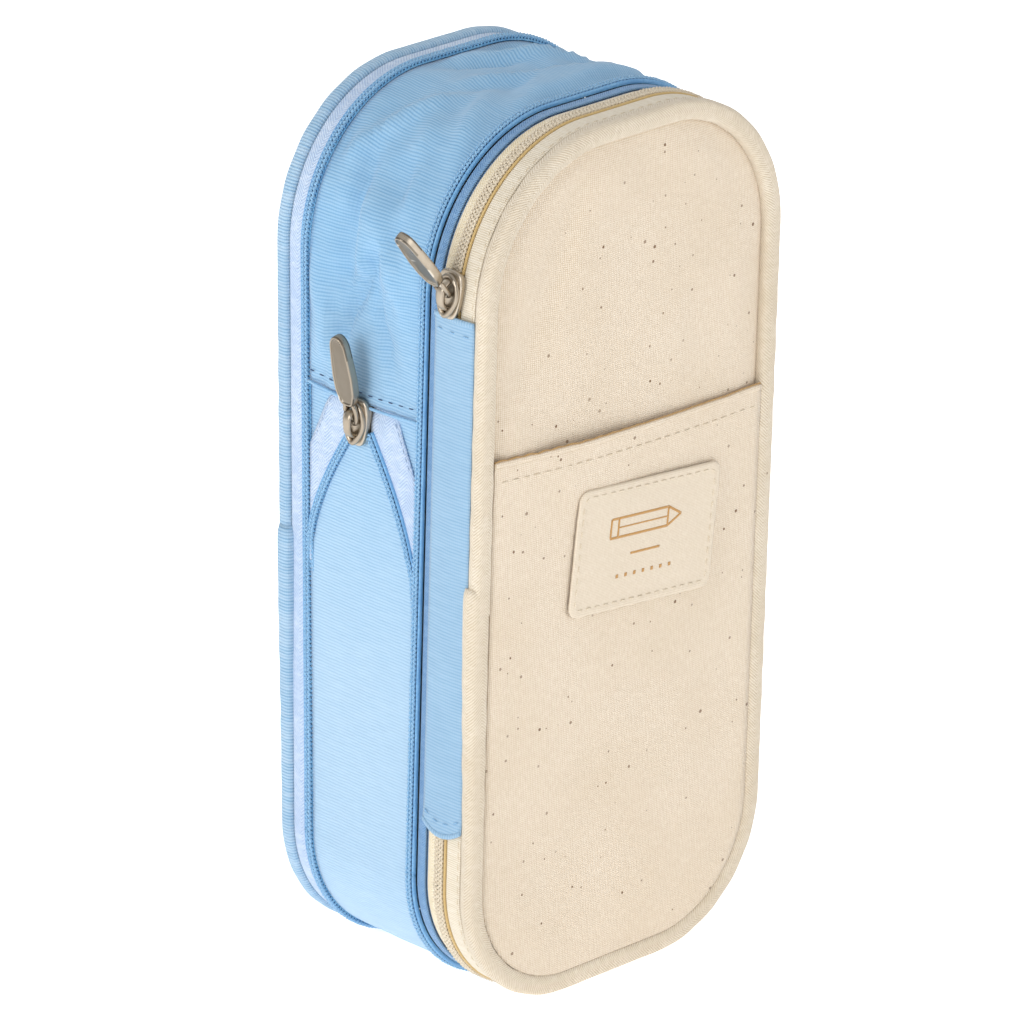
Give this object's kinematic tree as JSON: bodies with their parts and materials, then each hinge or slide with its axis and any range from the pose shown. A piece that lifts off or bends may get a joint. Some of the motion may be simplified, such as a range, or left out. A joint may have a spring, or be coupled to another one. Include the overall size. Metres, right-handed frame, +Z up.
{
  "type": "pencil case",
  "caption": "Upright zip-round canvas pencil case: cover that opens like a book, slip pocket, and an expansion zip that halves its depth.",
  "frame": {"origin": "middle of the flat base that the case stands on", "axes": "+Z up, along the case's length; -Y towards the cover with the slip pocket; -X towards the spine panel, both sliders and the V of the expansion zip"},
  "size_m": [0.1183, 0.0724, 0.22],
  "materials": {
    "cream_canvas": "natural cotton canvas with brown seed specks",
    "cream_twill": "natural cotton herringbone binding tape",
    "label_cotton": "close-woven cotton label",
    "cream_tape": "woven polyester zip tape",
    "cream_coil": "yellowish polyester zip coil",
    "blue_canvas": "light blue cotton canvas",
    "blue_rib": "light blue ribbed binding tape",
    "blue_tape": "lavender blue herringbone zip tape",
    "blue_coil": "mid blue polyester zip coil",
    "lining": "smooth blue polyester lining",
    "foam": "thin foam padding, hidden",
    "mesh": "open polyester net",
    "nickel": "warm antique nickel plating"
  },
  "bodies": {
    "back_body": {"back_panel": "blue_canvas", "back_foam": "foam", "back_lining": "lining", "back_binding": "blue_rib", "back_zip_tape": "blue_tape", "back_zip_teeth": "blue_coil", "expansion_gusset": "blue_canvas", "v_tape_front": "blue_tape", "v_tape_back": "blue_tape", "v_teeth_front": "blue_coil", "v_teeth_back": "blue_coil"},
    "front_frame": {"front_zip_tape": "blue_tape", "front_zip_teeth": "blue_coil", "body_zip_tape": "cream_tape", "body_zip_teeth": "cream_coil", "hinge_panel": "blue_canvas"},
    "cover": {"cover_binding": "cream_twill", "front_panel": "cream_canvas", "front_foam": "foam", "cover_lining": "lining", "front_pocket": "cream_canvas", "pocket_label": "label_cotton", "mesh_pocket": "mesh", "cover_gusset": "cream_canvas", "cover_zip_tape": "cream_tape", "cover_zip_teeth": "cream_coil"},
    "cover_zip_slider": {"cover_slider": "nickel"},
    "cover_zip_pull": {"cover_pull": "nickel"},
    "zip_apex": {"zip_end_tab": "blue_tape"},
    "expansion_zip_slider": {"expansion_slider": "nickel"},
    "expansion_zip_pull": {"expansion_pull": "nickel"}
  },
  "joints": [
    {"name": "collapse", "type": "slide", "parent": "back_body", "child": "front_frame", "axis": [0, 1, 0], "range_m": [0, 0.0305], "deforming": ["expansion_gusset", "v_tape_front", "v_tape_back", "v_teeth_front", "v_teeth_back"]},
    {"name": "cover_open", "type": "hinge", "parent": "front_frame", "child": "cover", "pos_m": [-0.05, -0.033, 0.11], "axis": [0, 0, -1], "range_deg": [0, 170]},
    {"name": "cover_slider_travel", "type": "hinge", "parent": "front_frame", "child": "cover_zip_slider", "pos_m": [-0.011, -0.02395, 0.181], "axis": [0, 1, 0], "range_deg": [0, 86]},
    {"name": "cover_pull_swing", "type": "hinge", "parent": "cover_zip_slider", "child": "cover_zip_pull", "pos_m": [-0.05253, -0.02395, 0.18474], "axis": [0, -1, 0], "range_deg": [-38, 110]},
    {"name": "zip_apex_shift", "type": "slide", "parent": "back_body", "child": "zip_apex", "axis": [0, 1, 0], "range_m": [0, 0.01525]},
    {"name": "expansion_slider_travel", "type": "slide", "parent": "zip_apex", "child": "expansion_zip_slider", "axis": [0, 0, -1], "range_m": [0, 0.09]},
    {"name": "expansion_pull_swing", "type": "hinge", "parent": "expansion_zip_slider", "child": "expansion_zip_pull", "pos_m": [-0.0528, 0.0052, 0.1445], "axis": [0, -1, 0], "range_deg": [-6, 150]}
  ],
  "couplings": [
    {"joint": "zip_apex_shift", "follows": "collapse", "ratio": 0.5}
  ]
}
